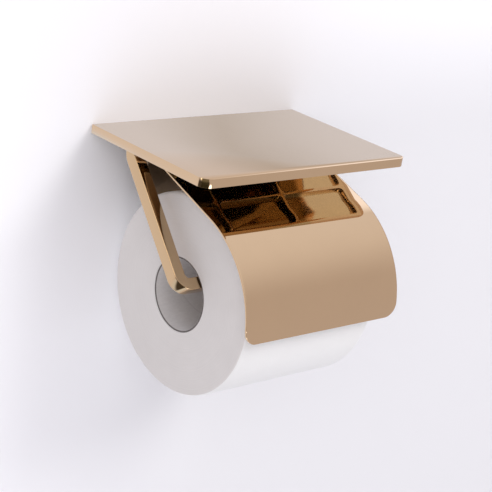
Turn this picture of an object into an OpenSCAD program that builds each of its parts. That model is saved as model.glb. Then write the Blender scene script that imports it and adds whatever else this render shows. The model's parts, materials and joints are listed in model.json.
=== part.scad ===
// Wall-mounted toilet paper holder: a ribbed shelf, one bent arm that carries the roll,
// and a hinged cover flap that rests on the roll.
// Frame: the wall is the plane y = 0, the object lies on the -Y side, +Z is up, and the
// origin is the centre of the two wall screws on the wall plane. Millimetres.

/* [Shelf] */
// Width of the shelf along the wall
shelf_w = 150; // [140:1:170]
// Depth of the shelf from the wall
shelf_d = 97; // [92:1:100]
// Overall thickness of the shelf
shelf_h = 5; // [5:0.5:6]
// Height of the shelf's top above the wall screws
shelf_top = 22; // [22:0.5:24]
// Radius of the two front corners
shelf_corner_r = 6; // [3:0.5:10]
// Width of the rim round the underside
rim_w = 5; // [4:0.5:8]
// Depth of the pockets in the underside
pocket_h = 3.2; // [2:0.1:3.4]
// Thickness of the ribs in the underside
rib_t = 1.8; // [1:0.1:3]

/* [Back plate] */
// Width of the back plate
plate_w = 76; // [76:1:90]
// Height of the back plate
plate_h = 38; // [34:0.5:40]
// Thickness of the back plate
plate_t = 7; // [6:0.5:8]
// Distance between the two wall screws
wall_screw_gap = 56; // [50:1:60]
// Diameter of the wall screw holes
wall_hole_d = 5; // [4:0.1:6]

/* [Arm] */
// Width of the square-edged bar, seen from the front
bar_w = 6.8; // [6:0.1:7]
// Depth of the bar, seen from the side
bar_d = 8; // [6:0.1:8]
// Distance of the bar's left face from the shelf's middle
arm_x = 64.8; // [64:0.1:66]
// Distance of the upright part's centre from the wall
arm_y = 23; // [21:0.5:24]
// Slope of the arm below the horizontal
arm_slope = 48.1; // [47:0.1:49]
// Length of the sloping part, from the upper bend to the spindle's axis
arm_run = 76.8; // [76:0.1:78]
// Distance of the spindle's free end from the shelf's middle
spindle_end = 40; // [30:1:44]

/* [Cover flap] */
// Width of the cover flap
cover_w = 113.2; // [100:0.1:113.4]
// Sideways offset of the cover flap from the shelf's middle
cover_x = -0.7; // [-0.7:0.1:3]
// Thickness of the sheet
cover_t = 1; // [0.8:0.1:1]
// Slope of the flat part below the horizontal
cover_slope = 18.3; // [18:0.1:18.3]
// Length of the flat part, measured from the hinge pin
cover_flat = 60; // [58:0.5:60]
// Outer radius of the curved front
cover_arc_r = 58; // [58:0.1:59]
// Angle that the curved front turns through
cover_arc_deg = 71.7; // [50:0.1:72]
// Radius of the two lower corners
cover_corner_r = 8; // [4:0.5:12]

/* [Hinge] */
// Distance of the hinge pin from the wall
hinge_y = 29; // [28:0.5:30]
// Height of the hinge pin above the wall screws
hinge_z = 11.2; // [11:0.1:11.4]
// Diameter of the hinge pin
pin_d = 4; // [3:0.1:4]
// Length of the hinge pin
pin_len = 76; // [76:0.5:80]

/* [Paper roll] */
// Diameter of the full roll
roll_d = 112.8; // [80:0.2:112.8]
// Width of the roll
roll_w = 95; // [90:1:96]
// Outer diameter of the cardboard core
core_d = 42; // [42:0.1:42.4]
// Wall thickness of the cardboard core
core_t = 0.8; // [0.5:0.1:0.8]
// Distance of the roll's left face from the shelf's middle
roll_x = 50.5; // [49:0.5:52]
// Distance of the roll's axis from the wall
roll_y = 62.4; // [61:0.1:62.6]
// Depth of the roll's axis below the wall screws
roll_z = 57.2; // [57.2:0.1:57.4]

/* [Hidden] */
$fn = 96;
eps = 0.01;
running_gap = 0.05;
beyond = 200;

shelf_under = shelf_top - shelf_h;
pocket_top = shelf_under + pocket_h;
plate_bottom = shelf_under - plate_h;

// ribs of the shelf's underside: two fore-and-aft ribs and two ribs along the wall
rib_x = [-26.5, 22];
rib_shift = 0.7;
rib_y = [-shelf_d / 3, -shelf_d * 2 / 3 + rib_shift];
pocket_corner_r = 2.5;

// wall bracket, hooked into the pocket in the back of the back plate
bracket_w = 66;
bracket_h = 22;
bracket_t = 2;
bracket_lip = 2;
bracket_z = 1;
bracket_low = bracket_z - bracket_h / 2;
bracket_play = 0.4;
plate_corner_r = 2;

// M4 fasteners
m4_r = 2;
m4_head_r = 3.75;
m4_head_h = 2.4;
m4_clear_r = 2.15;
m4_hex_r = 1.45;
m4_hex_h = 1.5;
m4_reach = 3.1;
thread_spare = 0.1;
flange_t = 3;
boss_r = 4.5;
flange_w = 52;
flange_y = -19;
shelf_screw_x = 17.5;
shelf_screw_y = -13;
grub_x = 24;
grub_y = -3;
grub_hex_r = 1.15;
grub_hex_h = 2.5;

// foot of the arm, screwed to the shelf's underside
foot_left = -67.6;
foot_right = -40;
foot_back = -13;
foot_front = -33;
foot_corner_r = 2;
arm_screw_x = -48.5;
arm_screw_y = [-18, -28];

// arm: an upright, an upper bend, a sloping run and a bend into the spindle
bar_cx = -arm_x + bar_w / 2;
upper_bend_r = 6;
lower_bend_r = 6;
upper_bend_deg = 90 - arm_slope;
arm_bend_z = 10.2;
arm_lap = 6;
seam = 0.02;

// hinge ears, bushes and clips
ear_t = 5;
ear_r = 5;
ear_in = 29.4;
bush_r = 3;
bush_flange_r = 4.2;
bush_flange_t = 0.9;
barrel_r = 3.1;
barrel_len = 56.4;
groove_r = 1.5;
groove_x = 35.6;
groove_w = 0.8;
clip_t = 0.7;
clip_r = 3.5;
clip_fit = 0.02;
clip_mouth = 2.4;
tab_len = 8;
arc_kick = 1;

cover_left = cover_x - cover_w / 2;
roll_r = roll_d / 2;
core_r = core_d / 2;

// ---------- helpers ----------

// moves a profile drawn as (y, z) into place and extrudes it along X about x = 0
module along_x(len) {
    rotate([90, 0, 90]) linear_extrude(height = len, center = true) children();
}

// cylinder along X, centred on x = 0
module rod_x(r, len) {
    rotate([0, 90, 0]) cylinder(r = r, h = len, center = true);
}

module at_hinge() {
    translate([0, -hinge_y, hinge_z]) children();
}

module at_roll() {
    translate([roll_w / 2 - roll_x, -roll_y, -roll_z]) children();
}

// rectangle from two corners with corner radius r
module round_rect(x0, y0, x1, y1, r) {
    w = x1 - x0;
    h = y1 - y0;
    translate([x0 + r, y0]) square([w - 2 * r, h]);
    translate([x0, y0 + r]) square([w, h - 2 * r]);
    for (x = [x0 + r, x1 - r], y = [y0 + r, y1 - r]) translate([x, y]) circle(r = r);
}

module ring(r_in, r_out) {
    difference() {
        circle(r = r_out);
        circle(r = r_in);
    }
}

// part of a ring between two angles that are less than 180 degrees apart
module ring_sector(r_in, r_out, a0, a1) {
    far = 2 * r_out;
    intersection() {
        ring(r_in, r_out);
        polygon([[0, 0], far * [cos(a0), sin(a0)],
                 far * [cos((a0 + a1) / 2), sin((a0 + a1) / 2)], far * [cos(a1), sin(a1)]]);
    }
}

// M4 socket screw that points up, with the underside of its head at z = 0
module m4_screw(reach) {
    difference() {
        union() {
            cylinder(r = m4_r, h = reach);
            translate([0, 0, -m4_head_h]) cylinder(r = m4_head_r, h = m4_head_h);
        }
        translate([0, 0, -m4_head_h - eps]) cylinder(r = m4_hex_r, h = m4_hex_h, $fn = 6);
    }
}

module grub_screw() {
    len = bracket_low - plate_bottom;
    difference() {
        translate([0, grub_y, plate_bottom]) cylinder(r = m4_r, h = len);
        translate([0, grub_y, plate_bottom - eps]) cylinder(r = grub_hex_r, h = grub_hex_h, $fn = 6);
    }
}

// ---------- wall bracket and back plate ----------

module wall_bracket() {
    color("lightgray")
    difference() {
        union() {
            translate([-bracket_w / 2, -bracket_t, bracket_low]) cube([bracket_w, bracket_t, bracket_h]);
            for (z = [bracket_low, bracket_low + bracket_h - bracket_t])
                translate([-bracket_w / 2, -bracket_t - bracket_lip, z])
                    cube([bracket_w, bracket_lip + eps, bracket_t]);
        }
        for (side = [-1, 1])
            translate([side * wall_screw_gap / 2, 0, 0])
                rotate([90, 0, 0]) cylinder(d = wall_hole_d, h = 3 * bracket_t, center = true);
    }
}

module back_plate_body() {
    rotate([90, 0, 0]) linear_extrude(height = plate_t)
        round_rect(-plate_w / 2, plate_bottom, plate_w / 2, shelf_under, plate_corner_r);
    translate([-flange_w / 2, flange_y, shelf_under - flange_t])
        cube([flange_w, -flange_y - plate_t + 1, flange_t]);
    for (side = [-1, 1])
        translate([side * (ear_in + ear_t / 2), 0, 0]) {
            at_hinge() rod_x(ear_r, ear_t);
            translate([-ear_t / 2, -hinge_y, hinge_z - ear_r]) cube([ear_t, hinge_y - plate_t + 1, 2 * ear_r]);
        }
}

module back_plate() {
    color("goldenrod")
    difference() {
        back_plate_body();
        // pocket for the wall bracket
        translate([-bracket_w / 2 - 1, -bracket_t - bracket_lip - bracket_play, bracket_low])
            cube([bracket_w + 2, bracket_t + bracket_lip + 1, bracket_h + bracket_play]);
        // bores for the hinge bushes
        at_hinge() rod_x(bush_r, 2 * (ear_in + ear_t) + 1);
        // threads for the grub screws and holes for the shelf screws
        for (side = [-1, 1]) {
            translate([side * grub_x, grub_y, plate_bottom - 1]) cylinder(r = m4_r, h = plate_h / 2);
            translate([side * shelf_screw_x, shelf_screw_y, shelf_under - flange_t - 1])
                cylinder(r = m4_clear_r, h = flange_t + 2);
        }
    }
}

module grub_screw_left() {
    color("dimgray") translate([-grub_x, 0, 0]) grub_screw();
}

module grub_screw_right() {
    color("dimgray") translate([grub_x, 0, 0]) grub_screw();
}

// ---------- shelf ----------

module shelf_outline() {
    r = shelf_corner_r;
    half = shelf_w / 2;
    translate([-half, -shelf_d + r]) square([shelf_w, shelf_d - r]);
    translate([-half + r, -shelf_d]) square([shelf_w - 2 * r, r + 1]);
    for (side = [-1, 1]) translate([side * (half - r), -shelf_d + r]) circle(r = r);
}

module shelf_screw_places() {
    for (side = [-1, 1]) translate([side * shelf_screw_x, shelf_screw_y, 0]) children();
    for (y = arm_screw_y) translate([arm_screw_x, y, 0]) children();
}

module shelf_pockets() {
    half = shelf_w / 2 - rim_w;
    edges_x = concat([-half], rib_x, [half]);
    edges_y = concat([-rim_w], rib_y, [-shelf_d + rim_w]);
    inset = rib_t / 2;
    for (i = [0:2], j = [0:2]) {
        x0 = edges_x[i] + (i == 0 ? 0 : inset);
        x1 = edges_x[i + 1] - (i == 2 ? 0 : inset);
        y0 = edges_y[j + 1] + (j == 2 ? 0 : inset);
        y1 = edges_y[j] - (j == 0 ? 0 : inset);
        round_rect(x0, y0, x1, y1, pocket_corner_r);
    }
}

module shelf() {
    color("goldenrod")
    difference() {
        translate([0, 0, shelf_under]) linear_extrude(height = shelf_h) shelf_outline();
        difference() {
            translate([0, 0, shelf_under - 1]) linear_extrude(height = pocket_h + 1) shelf_pockets();
            shelf_screw_places() translate([0, 0, shelf_under - 2]) cylinder(r = boss_r, h = pocket_h + 3);
        }
        shelf_screw_places() translate([0, 0, shelf_under - 1]) cylinder(r = m4_r, h = m4_reach + thread_spare + 1);
    }
}

module shelf_screw(side) {
    translate([side * shelf_screw_x, shelf_screw_y, shelf_under - flange_t]) m4_screw(flange_t + m4_reach);
}

module shelf_screw_left() {
    color("dimgray") shelf_screw(-1);
}

module shelf_screw_right() {
    color("dimgray") shelf_screw(1);
}

// ---------- arm ----------

module arm_foot() {
    color("goldenrod")
    difference() {
        translate([0, 0, shelf_under - flange_t]) linear_extrude(height = flange_t)
            round_rect(foot_left, foot_front, foot_right, foot_back, foot_corner_r);
        translate([-arm_x, -arm_y - bar_d / 2, shelf_under - flange_t - 1]) cube([bar_w, bar_d, flange_t + 2]);
        for (y = arm_screw_y)
            translate([arm_screw_x, y, shelf_under - flange_t - 1]) cylinder(r = m4_clear_r, h = flange_t + 2);
    }
}

module arm_screw(i) {
    translate([arm_screw_x, arm_screw_y[i], shelf_under - flange_t]) m4_screw(flange_t + m4_reach);
}

module arm_screw_rear() {
    color("dimgray") arm_screw(0);
}

module arm_screw_front() {
    color("dimgray") arm_screw(1);
}

// flat bar of width t that comes in along +x, turns left at the origin and goes on;
// the arcs cross the straight edges at a slight angle instead of just touching them
module bent_bar(len_in, len_out, turn, r, t) {
    h = t / 2;
    tip = h * tan(turn / 2);
    way = [cos(turn), sin(turn)];
    side = [-way.y, way.x];
    centre = [-r * tan(turn / 2), r];
    far = 3 * (r + h);
    difference() {
        polygon([[-len_in, -h], [tip, -h], len_out * way - h * side, len_out * way + h * side,
                 [-tip, h], [-len_in, h]]);
        difference() {
            polygon([centre, centre + [0, -far], centre + far * ([0, -1] - side), centre - far * side]);
            translate(centre) circle(r = r + h + seam);
        }
    }
    difference() {
        polygon([centre, centre + [0, -r], [0, 0], centre - r * side]);
        translate(centre) circle(r = r - h + seam);
    }
}

module holder_arm() {
    upright = shelf_under - arm_bend_z;
    color("goldenrod")
    translate([bar_cx, -arm_y, arm_bend_z]) rotate([180 + arm_slope, 0, 0]) union() {
        // upright and the start of the slope
        along_x(bar_w) rotate(180) bent_bar(2 * arm_lap, upright, upper_bend_deg, upper_bend_r, bar_d);
        // rest of the slope and the spindle, drawn as (distance to the right, distance down the slope)
        linear_extrude(height = bar_d, center = true)
            translate([0, arm_run]) mirror([1, 0]) rotate(90)
                bent_bar(arm_run - arm_lap, spindle_end - bar_cx, 90, lower_bend_r, bar_w);
    }
}

// ---------- hinge ----------

module hinge_pin() {
    color("silver")
    at_hinge() difference() {
        rod_x(pin_d / 2, pin_len);
        for (side = [-1, 1])
            translate([side * groove_x, 0, 0]) difference() {
                rod_x(pin_d, groove_w);
                rod_x(groove_r, groove_w + 1);
            }
    }
}

module hinge_bush(side) {
    at_hinge() difference() {
        union() {
            translate([side * (ear_in + ear_t / 2), 0, 0]) rod_x(bush_r, ear_t);
            translate([side * (ear_in - bush_flange_t / 2), 0, 0]) rod_x(bush_flange_r, bush_flange_t);
        }
        translate([side * ear_in, 0, 0]) rod_x(pin_d / 2 + running_gap, 3 * ear_t);
    }
}

module hinge_bush_left() {
    color("ivory") hinge_bush(-1);
}

module hinge_bush_right() {
    color("ivory") hinge_bush(1);
}

// snap ring, open at the bottom
module pin_clip(side) {
    at_hinge() translate([side * groove_x, 0, 0]) difference() {
        rod_x(clip_r, clip_t);
        rod_x(groove_r + clip_fit, clip_t + 1);
        translate([-clip_t, -clip_mouth / 2, -clip_r - 1]) cube([2 * clip_t, clip_mouth, clip_r + 1]);
    }
}

module pin_clip_left() {
    color("dimgray") pin_clip(-1);
}

module pin_clip_right() {
    color("dimgray") pin_clip(1);
}

// ---------- cover flap ----------

// side profile of the sheet from distance s0 along the flat part to its lower edge,
// drawn about the hinge axis with x running down the slope and y pointing under the sheet;
// the curved front starts with a slight kick
module cover_profile(s0) {
    translate([s0, -barrel_r]) square([cover_flat - s0, cover_t]);
    translate([cover_flat, -barrel_r]) rotate(arc_kick) translate([0, cover_arc_r])
        ring_sector(cover_arc_r - cover_t, cover_arc_r, -90, cover_arc_deg - 90);
}

module cover_blank() {
    intersection() {
        translate([cover_x, 0, 0]) at_hinge() along_x(cover_w) rotate(180 + cover_slope) cover_profile(tab_len);
        // front outline with the rounded lower corners
        rotate([90, 0, 0]) linear_extrude(height = beyond)
            round_rect(cover_left, cover_low_z(), cover_left + cover_w, beyond, cover_corner_r);
    }
}

// height of the cover's lower edge
function cover_low_z() =
    let (arc_from = cover_slope + arc_kick)
    hinge_z + barrel_r * cos(cover_slope) - cover_flat * sin(cover_slope)
    - cover_arc_r * (cos(arc_from) - cos(arc_from + cover_arc_deg));

module cover_flap() {
    color("burlywood")
    difference() {
        union() {
            cover_blank();
            at_hinge() along_x(barrel_len) rotate(180 + cover_slope)
                translate([0, -barrel_r]) square([tab_len + 1, cover_t]);
            at_hinge() rod_x(barrel_r, barrel_len);
        }
        at_hinge() rod_x(pin_d / 2 + running_gap, barrel_len + 2);
    }
}

// ---------- paper roll ----------

module cardboard_core() {
    color("tan")
    at_roll() difference() {
        rod_x(core_r, roll_w);
        rod_x(core_r - core_t, roll_w + 2);
    }
}

module paper_roll() {
    color("white")
    at_roll() difference() {
        rod_x(roll_r, roll_w);
        rod_x(core_r + running_gap, roll_w + 2);
    }
}

wall_bracket();
back_plate();
grub_screw_left();
grub_screw_right();
shelf();
shelf_screw_left();
shelf_screw_right();
arm_foot();
arm_screw_rear();
arm_screw_front();
holder_arm();
hinge_pin();
hinge_bush_left();
hinge_bush_right();
pin_clip_left();
pin_clip_right();
cover_flap();
cardboard_core();
paper_roll();
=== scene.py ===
"""Looks of the wall-mounted toilet paper holder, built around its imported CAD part.

Everything is in metres in the part's own frame: the wall is the plane y = 0, the room is on its
-Y side, +Z is up, and the origin lies midway between the two wall screws.
"""

import math

import bmesh
import bpy
from mathutils import Matrix, Vector, noise
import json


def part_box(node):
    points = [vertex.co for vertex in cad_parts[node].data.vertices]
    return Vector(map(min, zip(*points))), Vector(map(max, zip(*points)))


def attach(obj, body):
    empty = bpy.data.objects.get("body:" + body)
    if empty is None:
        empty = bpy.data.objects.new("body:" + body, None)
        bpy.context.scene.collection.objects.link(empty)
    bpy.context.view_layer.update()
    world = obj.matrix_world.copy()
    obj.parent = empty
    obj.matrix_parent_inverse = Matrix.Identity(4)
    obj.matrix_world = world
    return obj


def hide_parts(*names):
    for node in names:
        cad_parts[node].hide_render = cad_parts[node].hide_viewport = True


MM = 0.001

# camera: where it stands, where its right and upper sides point, and its lens in mm
CAMERA_AT = (-0.5675, -0.6395, 0.2461)
CAMERA_RIGHT = (0.7441, -0.6510, 0.1502)
CAMERA_UP = (0.1125, 0.3437, 0.9324)
CAMERA_LENS = 111.83

# steps of an eased corner, and how near two vertices are when they become one
CORNER_STEPS = 4
MERGE_NEAR = 1e-7

# arm: one bar, upright under the shelf, then sloping forward and down, then sideways as the spindle
BAR_W = 6.8 * MM
BAR_D = 8.0 * MM
BAR_EDGE = 0.55 * MM
BAR_EDGE_LEAST = 0.05 * MM
ARM_SLOPE = math.radians(48.1)
ARM_RUN = 76.8 * MM
ARM_BEND_Z = 10.2 * MM
ARM_BEND_R = 6.0 * MM
ARM_DOWN = Vector((0, -math.cos(ARM_SLOPE), -math.sin(ARM_SLOPE)))
ARM_FRONT = Vector((0, -math.sin(ARM_SLOPE), math.cos(ARM_SLOPE)))
# cosine of the angle to ARM_FRONT up to which a face belongs to the arm's front, which takes a darker gold as
# painted shade
ARM_FRONT_FACING = 0.93
UPPER_BEND_STEPS = 14
LOWER_BEND_STEPS = 24
# places of rings on the straight lengths, which keep the shading of these lengths flat
ARM_RING_ABOVE_BEND = 1.5 * MM
ARM_RUN_RINGS = (6 * MM, 25 * MM, 45 * MM, 60 * MM, 68 * MM)
SPINDLE_RINGS = (-45 * MM, -20 * MM, 10 * MM)

# cover flap: a hinge barrel, a flat part and a curved front, with a short smooth run between the two
COVER_T = 1.0 * MM
COVER_EDGE = 0.3 * MM
COVER_SLOPE = math.radians(18.3)
COVER_FLAT = 59.0 * MM
COVER_EASE_LEN = 2.0 * MM
COVER_ARC_R = 58.0 * MM
COVER_ARC = math.radians(72.7)
COVER_CORNER_R = 8.0 * MM
COVER_TAB_HALF = 28.2 * MM
COVER_TAB_LEN = 8.0 * MM
BARREL_R = 3.1 * MM
BARREL_WRAP = math.radians(300)
# how finely the sheet is divided along its length and across it
BARREL_STEPS = 28
COVER_FLAT_ROWS = (0.0, 4 * MM, COVER_TAB_LEN, 9 * MM, 20 * MM, 35 * MM, 48 * MM, 55 * MM)
COVER_EASE_STEPS = 4
COVER_ARC_STEPS = 52
COVER_CORNER_STEPS = 14
COVER_STEPS_PER_ROW = 8
COVER_SIDE_COLUMNS = (0.0, 1 * MM, 4 * MM, 12 * MM, 20 * MM)
COVER_MIDDLE_COLUMN = 14 * MM
# slack in comparing two lengths
TOLERANCE = 1e-9

# shelf: a cast tray with a rim and ribs underneath, and bosses for its screws
SHELF_CORNER_R = 6.0 * MM
SHELF_CORNER_STEPS = 10
SHELF_EDGE = 0.45 * MM
# how far inside the shelf's outline the underside's platings begin
SHELF_UNDER_MARGIN = 0.8 * MM
RIM_W = 5.0 * MM
RIB_T = 1.8 * MM
RIB_X = (-26.5 * MM, 22.0 * MM)
RIB_Y = (-63.97 * MM, -32.33 * MM)
POCKET_H = 3.2 * MM
POCKET_CORNER_R = 2.5 * MM
BOSS_R = 4.5 * MM
BOSS_STEPS = 30
BOSSES = (
    (-17.5 * MM, -13.0 * MM),
    (17.5 * MM, -13.0 * MM),
    (-48.5 * MM, -18.0 * MM),
    (-48.5 * MM, -28.0 * MM),
)

# paper roll: its bore and soft edges, and how far the loose last sheet, dents and slipped plies go,
# with the scales of the noise around the roll and along or across it
ROLL_BORE_R = 21.05 * MM
ROLL_SOFT_R = 1.6 * MM
ROLL_SEGMENTS = 200
ROLL_END_STEPS = 26
ROLL_SIDE_STEPS = 20
ROLL_CORNER_DEG = (15, 30, 45, 60, 75, 90)
ROLL_SEAM_AT = math.radians(-60)
ROLL_SEAM_STEP = 0.35 * MM
ROLL_SLACK = 0.12 * MM
ROLL_DENT = 0.25 * MM
ROLL_DENT_WAVES = (1.3, 22)
ROLL_SLIP = 0.25 * MM
ROLL_SLIP_WAVES = (1.6, 420)
ROLL_SLIP_OTHER_END = 5
PLIES_PER_METRE = 1700
ROLL_SLIP_FADE = 5
# the X part of a face's normal from which it belongs to the roll's cut ends
ROLL_END_FACING = 0.6

# cardboard core: CORE_RINGS are shares of its length, and frayed is the outer part of each half
CORE_T = 0.8 * MM
CORE_EASE = 0.2 * MM
CORE_SEGMENTS = 128
CORE_RINGS = (-0.36, -0.22, -0.08, 0.08, 0.22, 0.36)
CORE_FRAY = 0.18 * MM
CORE_FRAYED_FROM = 0.9
CORE_FRAY_WAVES = (4, 30)
CORE_SEAM_PITCH = 68 * MM
CORE_SEAM_SHARE = 0.012
CORE_CUT_END = (46.9 * MM, 47.2 * MM)

# small parts: edges eased on copies of the CAD nodes
EASED_MERGE = 0.002 * MM
EASED_FLAT_DEG = 1.0
EASED_SHARP_DEG = 35.0

# colours of the surfaces (linear)
GOLD = (0.80, 0.56, 0.335)
GOLD_ARM = (0.735, 0.50, 0.272)
# painted shade: darker gold on the arm's front faces
GOLD_ARM_FRONT_SHADED = (0.50, 0.355, 0.205)
# painted shade: the back plate's gold, darkened to the shade it stands in under the shelf
GOLD_BACK_SHADED = (0.24, 0.165, 0.10)
GOLD_UNDER = (0.80, 0.60, 0.36)
# painted shade: darker, browner gold on the underside's pockets and ribs towards the arm
GOLD_UNDER_PAINTED_SHADE = (0.235, 0.155, 0.05)
GOLD_RIB_PAINTED_SHADE = (0.58, 0.46, 0.27)
STEEL_SCREW = (0.40, 0.39, 0.385)
STEEL_PIN = (0.60, 0.60, 0.60)
ZINC = (0.58, 0.60, 0.62)
NYLON = ((0.74, 0.71, 0.62), (0.82, 0.80, 0.72))
TISSUE = ((0.80, 0.79, 0.77), (0.845, 0.84, 0.82))
# painted shade: the roll's cut ends darker and warmer than its sheet
TISSUE_END_SHADED = ((0.665, 0.63, 0.60), (0.725, 0.69, 0.66))
CORE_BOARD = ((0.585, 0.56, 0.545), (0.655, 0.63, 0.615))
CORE_DARK = (0.15, 0.13, 0.12)
WALL_COLOR = (0.86, 0.855, 0.87)

# the band in which most values of a noise texture lie
NOISE_BAND = (0.3, 0.7)

# where the underside's painted shade gives way to its lighter plating: the place x - slant * y, from and to
UNDER_SHADE_SLANT = 0.25
UNDER_SHADE_ENDS = (52 * MM, 57 * MM)

# what the camera sees beyond the wall, and the light that arrives from the room's directions (linear)
BACKGROUND = (0.84, 0.84, 0.86)
ROOM_LOW = (0.56, 0.53, 0.555)
ROOM_HIGH = (0.80, 0.80, 0.87)
WALLS_LEFT = (0.80, 0.80, 0.87)
WALLS_RIGHT = (0.505, 0.44, 0.385)
WALLS_BESIDE = (0.69, 0.64, 0.63)
WALLS_LOW = (0.72, 0.80, 0.92)
BRIGHT_PANEL = (1.20, 1.25, 1.45)
DARK_SIDE = (0.065, 0.058, 0.047)
SMALL_LAMP = (3.0, 3.2, 3.6)
EDGE_LAMP = (2.1, 1.95, 1.65)

# bands of a direction's x, y or z over which one light turns into the next
ROOM_RISE_Z = (0.2, 0.8)
ROOM_FOOT_Z = (-0.55, -0.42)
WALLS_BEGIN_Y = (0.3, 0.62)
WALLS_TURN_X = (-0.3, 0.3)
WALLS_FOOT_Z = (-0.3, 0.1)
WALLS_RIGHT_X = 0.67
WALLS_RIGHT_SPREAD = (-0.02, 0.08)
DARK_SIDE_X = (-0.15, -0.03)
DARK_SIDE_Y = (0.2, 0.35)
DARK_SIDE_Z = (0.0, 0.15)

# directions of the lamps, and how many degrees from there they are full and are gone
BRIGHT_PANEL_AT = (0.66, 0.40, 0.64)
BRIGHT_PANEL_DEG = (8, 20)
SMALL_LAMP_AT = (0.14, -0.93, -0.33)
SMALL_LAMP_DEG = (12, 16)
EDGE_LAMP_AT = (-0.96, -0.02, 0.30)
EDGE_LAMP_DEG = (6, 13)

# studio: the wall's colour carries painted light, which changes across it and towards its top
STUDIO_WALL_Y = 0.6 * MM
STUDIO_WALL_HALF = 2.0
STUDIO_WALL_TOP = 2.0
STUDIO_FLOOR_Z = -0.45
STUDIO_FLOOR_HALF = 4.0
WALL_PAINTED_LIGHT_X = (-0.16, 0.06)
WALL_PAINTED_LIGHT_Z = (0.0, 0.10)
WHITE = (1.0, 1.0, 1.0)
WARM_WHITE = (1.0, 0.99, 0.975)


# ---------------------------------------------------------------- shaping helpers

def mesh_object(name, verts, faces):
    mesh = bpy.data.meshes.new(name)
    mesh.from_pydata([tuple(v) for v in verts], [], faces)
    mesh.validate()
    mesh.update()
    obj = bpy.data.objects.new(name, mesh)
    bpy.context.scene.collection.objects.link(obj)
    return obj


def clean_mesh(obj, merge=MERGE_NEAR, flat_deg=None):
    """Drops loose vertices, merges near ones, joins nearly flat faces if asked, and turns faces outward."""
    bm = bmesh.new()
    bm.from_mesh(obj.data)
    loose = [v for v in bm.verts if not v.link_faces]
    bmesh.ops.delete(bm, geom=loose, context="VERTS")
    bmesh.ops.remove_doubles(bm, verts=bm.verts, dist=merge)
    if flat_deg is not None:
        bmesh.ops.dissolve_limit(bm, angle_limit=math.radians(flat_deg), verts=bm.verts, edges=bm.edges)
    bmesh.ops.recalc_face_normals(bm, faces=bm.faces)
    bm.to_mesh(obj.data)
    bm.free()


def apply_modifiers(obj):
    depsgraph = bpy.context.evaluated_depsgraph_get()
    mesh = bpy.data.meshes.new_from_object(obj.evaluated_get(depsgraph))
    obj.modifiers.clear()
    obj.data = mesh
    mesh.name = obj.name


def smooth(obj, sharp_deg):
    obj.data.shade_smooth()
    obj.data.set_sharp_from_angle(angle=math.radians(sharp_deg))


def bevel(obj, width, segments, sharp_deg):
    modifier = obj.modifiers.new("Bevel", "BEVEL")
    modifier.width = width
    modifier.segments = segments
    modifier.limit_method = "ANGLE"
    modifier.angle_limit = math.radians(sharp_deg)
    modifier.harden_normals = True
    modifier.use_clamp_overlap = True
    apply_modifiers(obj)


def cut(obj, cutter):
    modifier = obj.modifiers.new("Cut", "BOOLEAN")
    modifier.operation = "DIFFERENCE"
    modifier.solver = "EXACT"
    modifier.object = cutter
    apply_modifiers(obj)
    bpy.data.objects.remove(cutter)


def arc_points(centre, radius, start_deg, turn_deg, steps):
    """Points of an arc in a plane, both ends included."""
    points = []
    for k in range(steps + 1):
        a = math.radians(start_deg + turn_deg * k / steps)
        points.append((centre[0] + radius * math.cos(a), centre[1] + radius * math.sin(a)))
    return points


def rounded_rect(half_u, half_v, radius):
    """Points of a rounded rectangle around the origin, anticlockwise from its lower right corner."""
    points = []
    for side_u, side_v, start_deg in ((1, -1, -90), (1, 1, 0), (-1, 1, 90), (-1, -1, 180)):
        centre = (side_u * (half_u - radius), side_v * (half_v - radius))
        points += arc_points(centre, radius, start_deg, 90, CORNER_STEPS)
    return points


def prism(name, outline, z0, z1):
    """Closed prism over an outline of (x, y) points."""
    n = len(outline)
    verts = [(x, y, z0) for x, y in outline] + [(x, y, z1) for x, y in outline]
    faces = [tuple(range(n - 1, -1, -1)), tuple(range(n, 2 * n))]
    faces += [(i, (i + 1) % n, n + (i + 1) % n, n + i) for i in range(n)]
    obj = mesh_object(name, verts, faces)
    clean_mesh(obj)
    return obj


def rings_to_mesh(name, rings, closed_along=False):
    """Surface through rings of equal point count; open ends get flat caps."""
    n = len(rings[0])
    count = len(rings)
    verts = [point for ring in rings for point in ring]
    faces = []
    for i in range(count if closed_along else count - 1):
        a = i * n
        b = ((i + 1) % count) * n
        faces += [(a + j, a + (j + 1) % n, b + (j + 1) % n, b + j) for j in range(n)]
    if not closed_along:
        faces.append(tuple(range(n - 1, -1, -1)))
        faces.append(tuple(range((count - 1) * n, count * n)))
    obj = mesh_object(name, verts, faces)
    clean_mesh(obj)
    return obj


def revolve(name, profile, segments, axis_at, shape):
    """Turns (along, radius) points about the X axis through axis_at; shape moves each point a little."""
    rings = []
    for k in range(segments):
        a = 2 * math.pi * k / segments
        shaped = [shape(along, radius, a) for along, radius in profile]
        rings.append([(x, r * math.cos(a), r * math.sin(a)) for x, r in shaped])
    obj = rings_to_mesh(name, rings, closed_along=True)
    obj.location = axis_at
    return obj


# ---------------------------------------------------------------- node helpers

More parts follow.
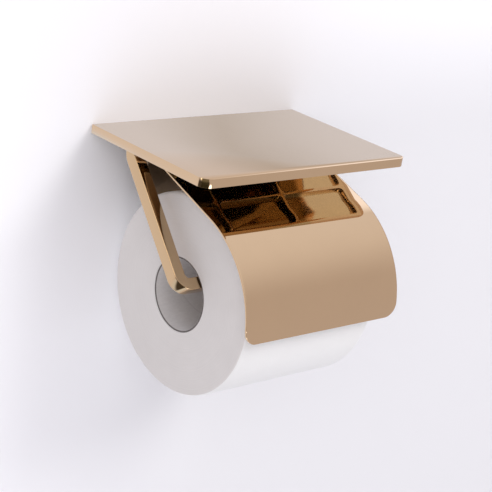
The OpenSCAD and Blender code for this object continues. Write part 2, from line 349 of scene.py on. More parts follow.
class NodeWriter:
    """Short way to add shader nodes, where an input is a plain value or a socket to link."""

    def __init__(self, tree):
        self.tree = tree

    def node(self, kind, inputs=None, **props):
        new = self.tree.nodes.new(kind)
        for key, value in props.items():
            setattr(new, key, value)
        for key, value in (inputs or {}).items():
            if isinstance(value, bpy.types.NodeSocket):
                self.tree.links.new(value, new.inputs[key])
            else:
                new.inputs[key].default_value = value
        return new

    def math(self, operation, a, b=0.0):
        return self.node("ShaderNodeMath", {0: a, 1: b}, operation=operation).outputs[0]

    def split(self, vector):
        """The x, y and z of a vector."""
        return self.node("ShaderNodeSeparateXYZ", {0: vector}).outputs

    def ramp(self, value, band, ends=(0.0, 1.0), kind="LINEAR"):
        """Carries a (low, high) band of a value over to two ends, and holds the ends beyond it."""
        inputs = {"Value": value, "From Min": band[0], "From Max": band[1]}
        inputs.update({"To Min": ends[0], "To Max": ends[1]})
        return self.node("ShaderNodeMapRange", inputs, interpolation_type=kind).outputs[0]

    def step(self, value, band, falling=False):
        """Smooth step from 0 to 1 over a band of a value, or from 1 to 0 if it is falling."""
        ends = (1.0, 0.0) if falling else (0.0, 1.0)
        return self.ramp(value, band, ends, kind="SMOOTHSTEP")

    def blend(self, share, a, b):
        """Colour a where the share is 0 and colour b where it is 1."""
        a, b = [(*c, 1.0) if isinstance(c, tuple) else c for c in (a, b)]
        return self.node("ShaderNodeMix", {0: share, 6: a, 7: b}, data_type="RGBA").outputs[2]


class MaterialWriter(NodeWriter):
    """Short way to write a node material around its principled shader."""

    def __init__(self, name):
        self.material = bpy.data.materials.new(name)
        self.material.use_nodes = True
        super().__init__(self.material.node_tree)
        self.principled = self.tree.nodes["Principled BSDF"]
        self.place = self.node("ShaderNodeTexCoord").outputs["Object"]
        self.x, self.y, self.z = self.split(self.place)

    def set(self, name, value):
        socket = self.principled.inputs[name]
        if isinstance(value, bpy.types.NodeSocket):
            self.tree.links.new(value, socket)
        else:
            socket.default_value = value

    def noise(self, scale, detail=3.0, rough=0.5, at=None):
        inputs = {"Vector": at or self.place, "Scale": scale, "Detail": detail, "Roughness": rough}
        return self.node("ShaderNodeTexNoise", inputs).outputs["Fac"]

    def stretched(self, scale):
        """Object coordinates scaled along each axis, for marks that run along one of them."""
        return self.node("ShaderNodeMapping", {"Vector": self.place, "Scale": scale}).outputs[0]

    def bump(self, height, distance, strength):
        inputs = {"Height": height, "Distance": distance, "Strength": strength}
        self.set("Normal", self.node("ShaderNodeBump", inputs).outputs[0])

    def turn_about_roll(self):
        """Turn about the roll's axis, from -0.5 to 0.5."""
        return self.math("DIVIDE", self.math("ARCTAN2", self.z, self.y), 2 * math.pi)

    def radius_from_roll(self):
        """Distance from the roll's axis."""
        squares = [self.math("MULTIPLY", part, part) for part in (self.y, self.z)]
        return self.math("SQRT", self.math("ADD", *squares))


class WorldWriter(NodeWriter):
    """Short way to write the room's light as a function of its direction."""

    def __init__(self, name):
        world = bpy.data.worlds.new(name)
        bpy.context.scene.world = world
        world.use_nodes = True
        super().__init__(world.node_tree)
        self.tree.nodes.clear()
        self.direction = self.node("ShaderNodeTexCoord").outputs["Generated"]
        self.x, self.y, self.z = self.split(self.direction)
        ray = self.node("ShaderNodeLightPath").outputs
        self.camera_ray = ray["Is Camera Ray"]
        self.glossy_ray = ray["Is Glossy Ray"]

    def product(self, *factors):
        result = factors[0]
        for factor in factors[1:]:
            result = self.math("MULTIPLY", result, factor)
        return result

    def lobe(self, toward, full_deg, gone_deg):
        """1 within full_deg of a direction, falling to 0 at gone_deg from it."""
        inputs = {0: self.direction, 1: Vector(toward).normalized()}
        nearness = self.node("ShaderNodeVectorMath", inputs, operation="DOT_PRODUCT").outputs["Value"]
        return self.step(nearness, (math.cos(math.radians(gone_deg)), math.cos(math.radians(full_deg))))

    def finish(self, color):
        background = self.node("ShaderNodeBackground", {"Color": color, "Strength": 1.0})
        out = self.node("ShaderNodeOutputWorld")
        self.tree.links.new(background.outputs[0], out.inputs[0])


# ---------------------------------------------------------------- materials

def darker(color, factor):
    return tuple(c * factor for c in color)


def gold_material(name, polish, smudge, tint=GOLD):
    """Mirror-polished champagne plating under clear lacquer, with faint cleaning marks."""
    m = MaterialWriter(name)
    cloud = m.noise(scale=38.0, detail=4.0, rough=0.6)
    wipe = m.noise(scale=900.0, detail=2.0, rough=0.5, at=m.stretched((0.25, 1.0, 0.6)))
    m.set("Base Color", m.blend(cloud, darker(tint, 0.965), darker(tint, 1.03)))
    m.set("Metallic", 1.0)
    patches = m.ramp(cloud, (0.42, 0.75), ends=(0.0, smudge))
    streaks = m.ramp(wipe, (0.55, 0.8), ends=(0.0, smudge * 0.5))
    m.set("Roughness", m.math("ADD", m.math("ADD", patches, streaks), polish))
    m.set("Coat Weight", 0.6)
    m.set("Coat Roughness", 0.04)
    m.bump(m.noise(scale=260.0, detail=2.0, rough=0.4), distance=0.004 * MM, strength=0.5)
    return m.material


def underside_material(name, dark, light, polish):
    """Cast underside with painted shade: browner and darker towards the arm than at the right end."""
    m = MaterialWriter(name)
    cloud = m.noise(scale=60.0, detail=4.0, rough=0.6)
    along = m.math("SUBTRACT", m.x, m.math("MULTIPLY", m.y, UNDER_SHADE_SLANT))
    # painted shade: the colour turns from the dark tint near the arm to the light one at the right end
    tint = m.blend(m.step(along, UNDER_SHADE_ENDS), dark, light)
    stain = m.ramp(cloud, NOISE_BAND, ends=(0.0, 0.12))
    m.set("Base Color", m.blend(stain, tint, darker(light, 0.5)))
    m.set("Metallic", 0.94)
    m.set("Roughness", m.ramp(cloud, NOISE_BAND, ends=(polish, polish + 0.06)))
    m.set("Coat Weight", 0.3)
    m.set("Coat Roughness", 0.1)
    m.bump(m.noise(scale=420.0, detail=3.0, rough=0.5), distance=0.01 * MM, strength=0.4)
    return m.material


def steel_material(name, color, rough, grain=(1.0, 1.0, 1.0)):
    """Bare or zinc-plated steel with turning or rolling marks along one direction."""
    m = MaterialWriter(name)
    grain_lines = m.noise(scale=1800.0, detail=3.0, rough=0.6, at=m.stretched(grain))
    cloud = m.noise(scale=90.0, detail=3.0, rough=0.6)
    m.set("Base Color", m.blend(cloud, darker(color, 0.85), darker(color, 1.1)))
    m.set("Metallic", 1.0)
    marks = m.ramp(grain_lines, NOISE_BAND, ends=(-0.07, 0.08))
    m.set("Roughness", m.math("ADD", marks, rough))
    m.bump(grain_lines, distance=0.02 * MM, strength=0.4)
    return m.material


def nylon_material():
    """Natural nylon: milky, with a fine moulded grain."""
    m = MaterialWriter("nylon_natural")
    cloud = m.noise(scale=300.0)
    m.set("Base Color", m.blend(cloud, *NYLON))
    m.set("Roughness", m.ramp(cloud, NOISE_BAND, ends=(0.42, 0.58)))
    m.set("Subsurface Weight", 0.15)
    m.bump(m.noise(scale=1400.0, detail=2.0), distance=0.02 * MM, strength=0.5)
    return m.material


def tissue_material():
    """Soft white tissue: fine crepe and a dotted emboss on the outer sheet."""
    m = MaterialWriter("tissue_sheet")
    fibres = m.noise(scale=1400.0, detail=4.0, rough=0.7)
    cloud = m.noise(scale=45.0)
    m.set("Base Color", m.blend(cloud, *TISSUE))
    m.set("Roughness", m.ramp(fibres, NOISE_BAND, ends=(0.82, 0.98)))
    m.set("Sheen Weight", 0.15)
    m.set("Sheen Roughness", 0.6)
    dots = m.node("ShaderNodeTexVoronoi", {"Vector": m.place, "Scale": 420.0}).outputs["Distance"]
    emboss = m.math("MULTIPLY", m.ramp(dots, (0.0, 0.5)), 0.6)
    crepe = m.math("MULTIPLY", fibres, 0.5)
    m.bump(m.math("ADD", emboss, crepe), distance=0.12 * MM, strength=0.35)
    return m.material


def roll_end_material():
    """Cut end of the wound tissue: fine rings of the plies with a soft cloudy tone, on painted shade that
    makes the end darker and warmer than the sheet.
    """
    m = MaterialWriter("tissue_end")
    turns = m.math("MULTIPLY", m.radius_from_roll(), PLIES_PER_METRE)
    spiral = m.math("ADD", turns, m.turn_about_roll())
    wobble = m.math("MULTIPLY", m.noise(scale=60.0, detail=2.0), 2.2)
    inputs = {"Scale": 1.0, "Detail": 3.0, "Roughness": 0.7, "W": m.math("ADD", spiral, wobble)}
    plies = m.node("ShaderNodeTexNoise", inputs, noise_dimensions="1D").outputs["Fac"]
    cloud = m.noise(scale=55.0, detail=3.0, rough=0.55)
    tone = m.math("ADD", m.math("MULTIPLY", plies, 0.55), m.math("MULTIPLY", cloud, 0.45))
    # painted shade: the end's colours are darker and warmer than the sheet's; the ply rings are real
    m.set("Base Color", m.blend(m.ramp(tone, NOISE_BAND), *TISSUE_END_SHADED))
    m.set("Roughness", m.ramp(plies, NOISE_BAND, ends=(0.88, 1.0)))
    m.set("Sheen Weight", 0.1)
    fuzz = m.math("MULTIPLY", m.noise(scale=2600.0, detail=2.0), 0.3)
    m.bump(m.math("ADD", m.math("MULTIPLY", plies, 0.8), fuzz), distance=0.15 * MM, strength=0.4)
    return m.material


def core_material():
    """Grey board wound in a spiral: a faint seam every turn, loose fibres and darker cut ends."""
    m = MaterialWriter("core_board")
    wraps = m.math("MULTIPLY", m.x, 1 / CORE_SEAM_PITCH)
    wrap = m.math("FRACT", m.math("ADD", wraps, m.turn_about_roll()))
    from_seam = m.math("ABSOLUTE", m.math("SUBTRACT", wrap, 0.5))
    seam = m.ramp(from_seam, (0.0, CORE_SEAM_SHARE), ends=(1.0, 0.0))
    fibres = m.noise(scale=900.0, detail=4.0, rough=0.7, at=m.stretched((0.35, 1.0, 1.0)))
    board = m.blend(m.ramp(fibres, NOISE_BAND), *CORE_BOARD)
    board = m.blend(m.math("MULTIPLY", seam, 0.15), board, CORE_DARK)
    cut_end = m.ramp(m.math("ABSOLUTE", m.x), CORE_CUT_END)
    m.set("Base Color", m.blend(cut_end, board, CORE_DARK))
    m.set("Roughness", m.ramp(fibres, NOISE_BAND, ends=(0.6, 0.8)))
    m.bump(m.math("SUBTRACT", m.math("MULTIPLY", fibres, 0.4), seam), distance=0.12 * MM, strength=0.5)
    return m.material


# ---------------------------------------------------------------- shelf

def shelf_outline(half, depth):
    """The shelf from above: square corners at the wall and round ones in front."""
    outline = [(half, 0.0), (-half, 0.0)]
    for centre_x, start_deg in ((-half + SHELF_CORNER_R, 180), (half - SHELF_CORNER_R, 270)):
        centre = (centre_x, -depth + SHELF_CORNER_R)
        outline += arc_points(centre, SHELF_CORNER_R, start_deg, 90, SHELF_CORNER_STEPS)
    return outline


def pocket_spans(rim_low, ribs, rim_high):
    """Where the pockets begin and end along one axis, between the rim's inner sides and the ribs."""
    begins = [rim_low] + [middle + RIB_T / 2 for middle in ribs]
    ends = [middle - RIB_T / 2 for middle in ribs] + [rim_high]
    return list(zip(begins, ends))


def pocket_cutter(x0, x1, y0, y1, underside):
    """The hollow of one pocket, without the bosses that stand in it."""
    middle_x = (x0 + x1) / 2
    middle_y = (y0 + y1) / 2
    shape = rounded_rect((x1 - x0) / 2, (y1 - y0) / 2, POCKET_CORNER_R)
    outline = [(middle_x + u, middle_y + v) for u, v in shape]
    pocket = prism("pocket", outline, underside - MM, underside + POCKET_H)
    for boss_x, boss_y in BOSSES:
        if x0 < boss_x < x1 and y0 < boss_y < y1:
            circle = arc_points((boss_x, boss_y), BOSS_R, 0, 360, BOSS_STEPS)[:-1]
            cut(pocket, prism("boss", circle, underside - 2 * MM, underside + POCKET_H + MM))
    return pocket


def shelf_piece(gold, gold_pocket, gold_rib):
    """Cast tray, plain on top, whose pockets and ribs have platings of their own, with painted shade towards
    the arm.
    """
    low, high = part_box("shelf")
    half = (high.x - low.x) / 2
    depth = -low.y
    plate = prism("shelf_plate", shelf_outline(half, depth), low.z, high.z)
    # rows of pockets, each from the wall outward
    for x0, x1 in pocket_spans(-half + RIM_W, RIB_X, half - RIM_W):
        for y0, y1 in reversed(pocket_spans(-depth + RIM_W, RIB_Y, -RIM_W)):
            cut(plate, pocket_cutter(x0, x1, y0, y1, low.z))
    bevel(plate, SHELF_EDGE, segments=3, sharp_deg=50)
    smooth(plate, sharp_deg=30)
    for material in (gold, gold_pocket, gold_rib):
        plate.data.materials.append(material)
    # the pockets' walls and ceilings take the second material, the undersides of ribs and rim the third
    margin = SHELF_UNDER_MARGIN
    for face in plate.data.polygons:
        c = face.center
        inside = abs(c.x) < half - margin and -depth + margin < c.y < -margin
        if inside and c.z < low.z + POCKET_H + margin / 2:
            face.material_index = 1 if c.z > low.z + SHELF_EDGE else 2
    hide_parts("shelf")
    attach(plate, "holder")


# ---------------------------------------------------------------- arm

def arm_stations(x, y, top_z, end_x):
    """(centre, width axis, depth axis) along the bar, from its top end to the spindle's free end."""
    across = Vector((1, 0, 0))
    forward = Vector((0, -1, 0))
    turn = math.pi / 2 - ARM_SLOPE
    bend_top = ARM_BEND_Z + ARM_BEND_R * math.tan(turn / 2)
    stations = [(Vector((x, y, z)), across, forward) for z in (top_z, bend_top + ARM_RING_ABOVE_BEND)]
    bend = Vector((x, y - ARM_BEND_R, bend_top))
    for k in range(UPPER_BEND_STEPS + 1):
        a = -turn * k / UPPER_BEND_STEPS
        out = Vector((0, math.cos(a), math.sin(a)))
        stations.append((bend + ARM_BEND_R * out, across, -out))
    corner = Vector((x, y, ARM_BEND_Z))
    stations += [(corner + run * ARM_DOWN, across, ARM_FRONT) for run in ARM_RUN_RINGS]
    bend = corner + (ARM_RUN - ARM_BEND_R) * ARM_DOWN + ARM_BEND_R * across
    for k in range(LOWER_BEND_STEPS + 1):
        a = math.pi / 2 * k / LOWER_BEND_STEPS
        out = -math.cos(a) * across + math.sin(a) * ARM_DOWN
        stations.append((bend + ARM_BEND_R * out, -out, ARM_FRONT))
    spindle = corner + ARM_RUN * ARM_DOWN
    for ring_x in (*SPINDLE_RINGS, end_x):
        stations.append((Vector((ring_x, spindle.y, spindle.z)), -ARM_DOWN, ARM_FRONT))
    return stations


def bar_ring(centre, wide, deep, shrink=0.0):
    """Section of the bar, drawn in all round by shrink where its end is rounded."""
    radius = max(BAR_EDGE - shrink, BAR_EDGE_LEAST)
    section = rounded_rect(BAR_W / 2 - shrink, BAR_D / 2 - shrink, radius)
    return [centre + u * wide + v * deep for u, v in section]


def arm_piece(gold, gold_front_shaded):
    """Rectangular bar with eased edges swept along its bent centre line."""
    low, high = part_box("holder_arm")
    stations = arm_stations(low.x + BAR_W / 2, high.y - BAR_D / 2, high.z, high.x - BAR_EDGE)
    rings = [bar_ring(*station) for station in stations]
    end, wide, deep = stations[-1]
    for k in range(1, CORNER_STEPS + 1):
        a = math.radians(90 * k / CORNER_STEPS)
        centre = end + Vector((BAR_EDGE * math.sin(a), 0, 0))
        rings.append(bar_ring(centre, wide, deep, shrink=BAR_EDGE * (1 - math.cos(a))))
    bar = rings_to_mesh("arm_bar", rings)
    smooth(bar, sharp_deg=40)
    bar.data.materials.append(gold)
    bar.data.materials.append(gold_front_shaded)
    # painted shade: faces turned to the front take the darker gold
    for face in bar.data.polygons:
        if face.normal.dot(ARM_FRONT) > ARM_FRONT_FACING:
            face.material_index = 1
    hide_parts("holder_arm")
    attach(bar, "holder")


# ---------------------------------------------------------------- cover flap

def cover_heading(distance):
    """How far the sheet points below its flat part, at a distance from the hinge along it (radians)."""
    into_ease = distance - COVER_FLAT + COVER_EASE_LEN / 2
    if into_ease <= 0.0:
        return 0.0
    if into_ease < COVER_EASE_LEN:
        return into_ease * into_ease / (2 * COVER_EASE_LEN * COVER_ARC_R)
    return (distance - COVER_FLAT) / COVER_ARC_R


def cover_distances():
    """Distances from the hinge along the sheet at which a row of vertices lies."""
    arc_from = COVER_FLAT + COVER_EASE_LEN / 2
    arc_len = COVER_ARC_R * COVER_ARC - COVER_EASE_LEN / 2 - COVER_CORNER_R
    distances = list(COVER_FLAT_ROWS)
    for k in range(COVER_EASE_STEPS + 1):
        distances.append(COVER_FLAT + COVER_EASE_LEN * (k / COVER_EASE_STEPS - 0.5))
    for k in range(1, COVER_ARC_STEPS + 1):
        distances.append(arc_from + arc_len * k / COVER_ARC_STEPS)
    for k in range(1, COVER_CORNER_STEPS + 1):
        a = math.radians(90 * k / COVER_CORNER_STEPS)
        distances.append(arc_from + arc_len + COVER_CORNER_R * math.sin(a))
    return distances


def cover_rows():
    """Rows of the outer surface: (place down the slope and below the hinge, heading, distance along)."""
    rows = []
    for k in range(BARREL_STEPS, 0, -1):
        a = BARREL_WRAP * k / BARREL_STEPS
        rows.append((Vector((-math.sin(a), -math.cos(a))) * BARREL_R, -a, -BARREL_R * a))
    # from the barrel on, the sheet is followed in short straight steps
    point = Vector((0.0, -BARREL_R))
    last = 0.0
    for distance in cover_distances():
        length = distance - last
        for k in range(COVER_STEPS_PER_ROW):
            heading = cover_heading(last + length * (k + 0.5) / COVER_STEPS_PER_ROW)
            point = point + Vector((math.cos(heading), math.sin(heading))) * length / COVER_STEPS_PER_ROW
        rows.append((point.copy(), cover_heading(distance), distance))
        last = distance
    return rows


def cover_columns(low_x, high_x):
    """Places across the sheet, closer together at its sides and at the sides of the hinge tab."""
    tab = [-COVER_TAB_HALF, -COVER_TAB_HALF + MM, -COVER_MIDDLE_COLUMN, 0.0]
    tab += [-x for x in reversed(tab[:-1])]
    left = [low_x + inward for inward in COVER_SIDE_COLUMNS]
    right = [high_x - inward for inward in reversed(COVER_SIDE_COLUMNS)]
    return left + tab + right


def cover_corner_inset(from_end):
    """How far a rounded lower corner draws the sheet's side in, at a distance from its end."""
    if from_end >= COVER_CORNER_R:
        return 0.0
    reach = COVER_CORNER_R - from_end
    return COVER_CORNER_R - math.sqrt(max(COVER_CORNER_R ** 2 - reach ** 2, 0.0))


def cover_surface(rows, columns, hinge, depth):
    """Rows of points of the surface that lies depth below the sheet's outer one."""
    down = Vector((0, -math.cos(COVER_SLOPE), -math.sin(COVER_SLOPE)))
    under = Vector((0, math.sin(COVER_SLOPE), -math.cos(COVER_SLOPE)))
    low_x = columns[0]
    width = columns[-1] - low_x
    total = rows[-1][2]
    surface = []
    for point, heading, distance in rows:
        inward = Vector((-math.sin(heading), math.cos(heading)))
        p = point + inward * depth
        inset = cover_corner_inset(total - distance)
        line = []
        for x in columns:
            share = (x - low_x) / width
            place_x = low_x + inset + share * (width - 2 * inset)
            line.append(Vector((place_x, hinge.y, hinge.z)) + down * p.x + under * p.y)
        surface.append(line)
    return surface


def cover_cells(rows, columns):
    """(row, column) of each cell with sheet in it: near the hinge only the tab has any."""
    cells = set()
    for i in range(len(rows) - 1):
        full_width = rows[i][2] >= COVER_TAB_LEN - TOLERANCE
        for j in range(len(columns) - 1):
            in_tab = max(abs(columns[j]), abs(columns[j + 1])) <= COVER_TAB_HALF + TOLERANCE
            if full_width or in_tab:
                cells.add((i, j))
    return cells


def cover_faces(cells, row_len, layer_len):
    """Outer, inner and edge faces over the cells, with vertices counted row by row, the outer layer first."""

    def outer(i, j):
        return i * row_len + j

    def inner(i, j):
        return layer_len + i * row_len + j

    faces = []
    for i, j in sorted(cells):
        faces.append((outer(i, j), outer(i, j + 1), outer(i + 1, j + 1), outer(i + 1, j)))
        faces.append((inner(i, j), inner(i + 1, j), inner(i + 1, j + 1), inner(i, j + 1)))
        sides = (
            ((i - 1, j), (i, j), (i, j + 1)),
            ((i + 1, j), (i + 1, j + 1), (i + 1, j)),
            ((i, j - 1), (i + 1, j), (i, j)),
            ((i, j + 1), (i, j + 1), (i + 1, j + 1)),
        )
        for neighbour, a, b in sides:
            if neighbour not in cells:
                faces.append((outer(*a), inner(*a), inner(*b), outer(*b)))
    return faces


def cover_piece(gold, hinge):
    """One bent sheet, with a rolled hinge barrel and rounded lower corners."""
    low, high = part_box("cover_flap")
    rows = cover_rows()
    columns = cover_columns(low.x, high.x)
    layers = [cover_surface(rows, columns, hinge, depth) for depth in (0.0, COVER_T)]
    verts = [point for layer in layers for line in layer for point in line]
    faces = cover_faces(cover_cells(rows, columns), len(columns), len(rows) * len(columns))
    sheet = mesh_object("cover_sheet", verts, faces)
    clean_mesh(sheet)
    bevel(sheet, COVER_EDGE, segments=3, sharp_deg=60)
    smooth(sheet, sharp_deg=30)
    sheet.data.materials.append(gold)
    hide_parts("cover_flap")
    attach(sheet, "cover")


# ---------------------------------------------------------------- paper roll and core

def roll_profile(radius, half):
    """(along, radius) points from the bore's left end over the soft edges to its right end."""
    depth = radius - ROLL_SOFT_R - ROLL_BORE_R
    length = 2 * half - 2 * ROLL_SOFT_R
    left = [(-half, ROLL_BORE_R + depth * k / ROLL_END_STEPS) for k in range(ROLL_END_STEPS + 1)]
    for degrees in ROLL_CORNER_DEG:
        a = math.radians(degrees)
        along = -half + ROLL_SOFT_R * (1 - math.cos(a))
        left.append((along, radius - ROLL_SOFT_R + ROLL_SOFT_R * math.sin(a)))
    side = [(-half + ROLL_SOFT_R + length * k / ROLL_SIDE_STEPS, radius) for k in range(1, ROLL_SIDE_STEPS)]
    right = [(-x, r) for x, r in reversed(left)]
    return left + side + right


def roll_piece(sheet_material, end_material, axis_at):
    """Full roll, wound a little unevenly, with its last sheet's edge at ROLL_SEAM_AT."""
    low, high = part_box("paper_roll")
    radius = (high.y - low.y) / 2
    half = (high.x - low.x) / 2

    def shape(along, r, a):
        around, lengthwise = ROLL_DENT_WAVES
        dent = noise.noise(Vector((math.cos(a) * around, math.sin(a) * around, along * lengthwise)))
        share = (r - ROLL_BORE_R) / (radius - ROLL_BORE_R)
        wind = ((a - ROLL_SEAM_AT) / (2 * math.pi)) % 1.0
        inset = ROLL_SEAM_STEP * wind * share ** 6
        if abs(along) > half - 2 * ROLL_SOFT_R:
            around, outward = ROLL_SLIP_WAVES
            other_end = ROLL_SLIP_OTHER_END if along > 0 else 0
            slip = noise.noise(Vector((r * outward, math.cos(a) * around, math.sin(a) * around + other_end)))
            drawn_in = ROLL_SLIP * (0.5 + 0.5 * slip) * min(share * ROLL_SLIP_FADE, 1.0)
            along = along - math.copysign(drawn_in, along)
        return along, r - share ** 3 * (inset + ROLL_SLACK + max(ROLL_DENT * dent, 0.0))

    roll = revolve("tissue_roll", roll_profile(radius, half), ROLL_SEGMENTS, axis_at, shape)
    smooth(roll, sharp_deg=50)
    roll.data.materials.append(sheet_material)
    roll.data.materials.append(end_material)
    for face in roll.data.polygons:
        if abs(face.normal.x) > ROLL_END_FACING:
            face.material_index = 1
    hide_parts("paper_roll")
    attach(roll, "roll")


def core_piece(material, axis_at):
    """Board tube with eased, slightly frayed ends."""
    low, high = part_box("cardboard_core")
    half = (high.x - low.x) / 2
    outer = (high.y - low.y) / 2
    inner = outer - CORE_T
    end = [
        (-half + CORE_EASE, inner),
        (-half, inner + CORE_EASE),
        (-half, outer - CORE_EASE),
        (-half + CORE_EASE, outer),
    ]
    profile = end + [(2 * half * share, outer) for share in CORE_RINGS]
    profile += [(-x, r) for x, r in reversed(end)]
    profile += [(2 * half * share, inner) for share in reversed(CORE_RINGS)]

    def shape(x, r, a):
        around, lengthwise = CORE_FRAY_WAVES
        fray = CORE_FRAY * noise.noise(Vector((math.cos(a) * around, math.sin(a) * around, x * lengthwise)))
        if abs(x) > half * CORE_FRAYED_FROM:
            x = x - math.copysign(max(fray, 0.0), x)
        return x, r

    core = revolve("core_tube", profile, CORE_SEGMENTS, axis_at, shape)
    smooth(core, sharp_deg=50)
    core.data.materials.append(material)
    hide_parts("cardboard_core")
    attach(core, "core")


# ---------------------------------------------------------------- small parts

def eased_copy(node, material, width):
    """A copy of a CAD part with its sharp edges eased, which stands for it."""
    source = frame["nodes"][node]
    obj = bpy.data.objects.new(node + "_eased", source.data.copy())
    obj.data.materials.clear()
    bpy.context.scene.collection.objects.link(obj)
    clean_mesh(obj, merge=EASED_MERGE, flat_deg=EASED_FLAT_DEG)
    bevel(obj, width, segments=2, sharp_deg=EASED_SHARP_DEG)
    smooth(obj, sharp_deg=30)
    obj.data.materials.append(material)
    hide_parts(node)
    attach(obj, "holder")


def small_parts(gold_cast):
    """Back plate, arm foot, wall bracket, screws, clips and the hinge's parts, each a piece of its own."""
    # painted shade: the back plate takes a much darker gold for the shade under the shelf
    gold_back_shaded = gold_material("gold_back_shaded", polish=0.30, smudge=0.10, tint=GOLD_BACK_SHADED)
    steel_dark = steel_material("steel_screw", STEEL_SCREW, rough=0.32)
    steel_pin = steel_material("steel_pin", STEEL_PIN, rough=0.24, grain=(0.1, 1.0, 1.0))
    zinc = steel_material("zinc_steel", ZINC, rough=0.38, grain=(0.2, 1.0, 1.0))
    nylon = nylon_material()
    eased_copy("back_plate", gold_back_shaded, width=0.35 * MM)
    eased_copy("arm_foot", gold_cast, width=0.3 * MM)
    eased_copy("wall_bracket", zinc, width=0.25 * MM)
    for node in ("shelf_screw_left", "shelf_screw_right", "arm_screw_rear", "arm_screw_front",
                 "grub_screw_left", "grub_screw_right", "pin_clip_left", "pin_clip_right"):
        eased_copy(node, steel_dark, width=0.12 * MM)
    eased_copy("hinge_pin", steel_pin, width=0.15 * MM)
    for node in ("hinge_bush_left", "hinge_bush_right"):
        eased_copy(node, nylon, width=0.12 * MM)


# ---------------------------------------------------------------- studio

def wall_material():
    """Pale paint with painted light, lighter to the left and above, and clear from behind."""
    m = MaterialWriter("studio_wall")
    cloud = m.noise(scale=2.0, detail=2.0)
    # painted light: the wall's colour is lighter to the left and above, darker to the right below
    painted_light_low = m.blend(m.step(m.x, WALL_PAINTED_LIGHT_X), darker(WALL_COLOR, 1.10), darker(WALL_COLOR, 0.89))
    painted = m.blend(m.step(m.z, WALL_PAINTED_LIGHT_Z), painted_light_low, darker(WALL_COLOR, 1.06))
    patches = m.ramp(cloud, NOISE_BAND, ends=(0.0, 0.04))
    m.set("Base Color", m.blend(patches, painted, darker(WALL_COLOR, 0.9)))
    m.set("Roughness", 0.9)
    m.set("Specular IOR Level", 0.0)
    behind = m.node("ShaderNodeNewGeometry").outputs["Backfacing"]
    clear = m.node("ShaderNodeBsdfTransparent").outputs[0]
    mixed = m.node("ShaderNodeMixShader", {0: behind, 1: m.principled.outputs[0], 2: clear})
    m.tree.links.new(mixed.outputs[0], m.tree.nodes["Material Output"].inputs["Surface"])
    return m.material


def studio_wall():
    """Wall behind the holder, which the camera sees and which is left out of all reflections."""
    half, y = STUDIO_WALL_HALF, STUDIO_WALL_Y
    verts = [(x, y, z) for x, z in ((-half, STUDIO_FLOOR_Z), (half, STUDIO_FLOOR_Z),
                                    (half, STUDIO_WALL_TOP), (-half, STUDIO_WALL_TOP))]
    wall = mesh_object("studio_wall", verts, [(0, 1, 2, 3)])
    wall.data.materials.append(wall_material())
    wall.visible_glossy = False
    wall.visible_diffuse = False
    wall.visible_transmission = False
    wall.visible_shadow = False


def studio_floor():
    """Pale floor far below, which isn't seen in reflections."""
    m = MaterialWriter("studio_floor")
    cloud = m.noise(scale=3.0, detail=2.0)
    m.set("Base Color", m.blend(cloud, darker(WALL_COLOR, 0.97), WALL_COLOR))
    m.set("Roughness", 0.8)
    half = STUDIO_FLOOR_HALF
    verts = [(x, y, STUDIO_FLOOR_Z) for x, y in ((-half, -half), (half, -half), (half, half), (-half, half))]
    floor = mesh_object("studio_floor", verts, [(0, 1, 2, 3)])
    floor.data.materials.append(m.material)
    floor.visible_glossy = False


def area_light(name, at, toward, size, power, color):
    """Square soft light that isn't seen in reflections."""
    data = bpy.data.lights.new(name, "AREA")
    data.shape = "RECTANGLE"
    data.size = size
    data.size_y = size
    data.energy = power
    data.color = color
    obj = bpy.data.objects.new(name, data)
    bpy.context.scene.collection.objects.link(obj)
    obj.location = at
    obj.rotation_euler = (Vector(toward) - Vector(at)).to_track_quat("-Z", "Y").to_euler()
    obj.visible_glossy = False


def studio_world():
    """Soft room light that changes with direction, and a plain pale background for the camera."""
    w = WorldWriter("studio")
    room = w.blend(w.step(w.z, ROOM_RISE_Z), ROOM_LOW, ROOM_HIGH)
    room = w.blend(w.step(w.z, ROOM_FOOT_Z, falling=True), room, WALLS_LOW)
    off_centre = w.math("ABSOLUTE", w.math("SUBTRACT", w.x, WALLS_RIGHT_X))
    right = w.blend(w.step(off_centre, WALLS_RIGHT_SPREAD), WALLS_RIGHT, WALLS_BESIDE)
    right = w.blend(w.step(w.z, WALLS_FOOT_Z, falling=True), right, WALLS_LOW)
    walls = w.blend(w.step(w.x, WALLS_TURN_X), WALLS_LEFT, right)
    light = w.blend(w.step(w.y, WALLS_BEGIN_Y), room, walls)
    light = w.blend(w.lobe(BRIGHT_PANEL_AT, *BRIGHT_PANEL_DEG), light, BRIGHT_PANEL)
    dark = w.product(
        w.step(w.x, DARK_SIDE_X, falling=True),
        w.step(w.y, DARK_SIDE_Y, falling=True),
        w.step(w.z, DARK_SIDE_Z, falling=True),
        w.glossy_ray,
    )
    light = w.blend(dark, light, DARK_SIDE)
    small = w.product(w.lobe(SMALL_LAMP_AT, *SMALL_LAMP_DEG), w.glossy_ray)
    light = w.blend(small, light, SMALL_LAMP)
    edge = w.product(w.lobe(EDGE_LAMP_AT, *EDGE_LAMP_DEG), w.glossy_ray)
    light = w.blend(edge, light, EDGE_LAMP)
    w.finish(w.blend(w.camera_ray, light, BACKGROUND))


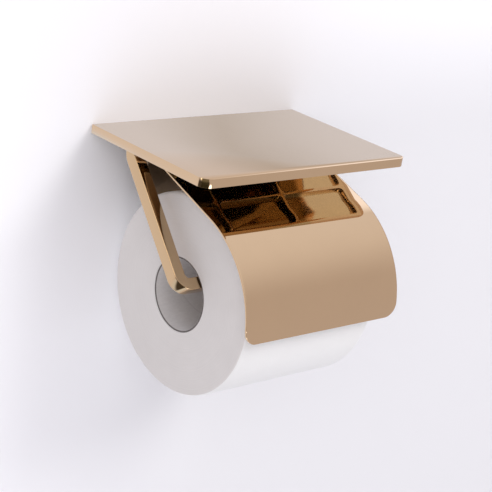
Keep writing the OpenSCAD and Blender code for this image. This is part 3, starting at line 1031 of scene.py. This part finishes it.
def studio_camera():
    """Camera of the photo, with a full-frame sensor width in mm."""
    right = Vector(CAMERA_RIGHT).normalized()
    up = Vector(CAMERA_UP).normalized()
    back = right.cross(up).normalized()
    data = bpy.data.cameras.new("camera")
    data.lens = CAMERA_LENS
    data.sensor_width = 36.0
    data.clip_start = 0.01
    data.clip_end = 20.0
    camera = bpy.data.objects.new("camera", data)
    bpy.context.scene.collection.objects.link(camera)
    turned = Matrix((right, up, back)).transposed().to_4x4()
    camera.matrix_world = Matrix.Translation(Vector(CAMERA_AT)) @ turned
    bpy.context.scene.camera = camera


# ---------------------------------------------------------------- build

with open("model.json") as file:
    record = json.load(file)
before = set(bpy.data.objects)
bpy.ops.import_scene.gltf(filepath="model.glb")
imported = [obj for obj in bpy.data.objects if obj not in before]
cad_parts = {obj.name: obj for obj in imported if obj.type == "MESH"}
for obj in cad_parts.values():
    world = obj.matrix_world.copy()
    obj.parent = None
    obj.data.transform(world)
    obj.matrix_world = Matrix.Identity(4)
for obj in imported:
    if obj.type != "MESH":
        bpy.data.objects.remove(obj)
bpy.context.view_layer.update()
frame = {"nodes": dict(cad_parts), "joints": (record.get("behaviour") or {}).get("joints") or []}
joints = {j["name"]: j for j in frame["joints"]}
hinge_at = Vector(joints["cover_hinge"]["pos_m"])
roll_at = Vector(joints["roll_spin"]["pos_m"])

bpy.context.scene.view_settings.view_transform = "Standard"
studio_camera()
studio_world()
studio_wall()
studio_floor()
area_light("key", at=(1.3, -2.0, 2.2), toward=(0, -0.05, -0.03), size=1.6, power=44.0, color=WARM_WHITE)
area_light("fill", at=(-1.5, -1.6, 0.9), toward=(-0.05, 0.0, -0.05), size=1.5, power=12.0, color=WHITE)

gold_cast = gold_material("gold_cast", polish=0.035, smudge=0.015)
shelf_piece(
    gold_cast,
    underside_material("gold_pocket", GOLD_UNDER_PAINTED_SHADE, GOLD_UNDER, polish=0.09),
    underside_material("gold_rib", GOLD_RIB_PAINTED_SHADE, GOLD, polish=0.04),
)
arm_piece(
    gold_material("gold_arm", polish=0.035, smudge=0.015, tint=GOLD_ARM),
    gold_material("gold_arm_front_shaded", polish=0.06, smudge=0.03, tint=GOLD_ARM_FRONT_SHADED),
)
cover_piece(gold_material("gold_sheet", polish=0.02, smudge=0.02), hinge_at)
roll_piece(tissue_material(), roll_end_material(), roll_at)
core_piece(core_material(), roll_at)
small_parts(gold_cast)
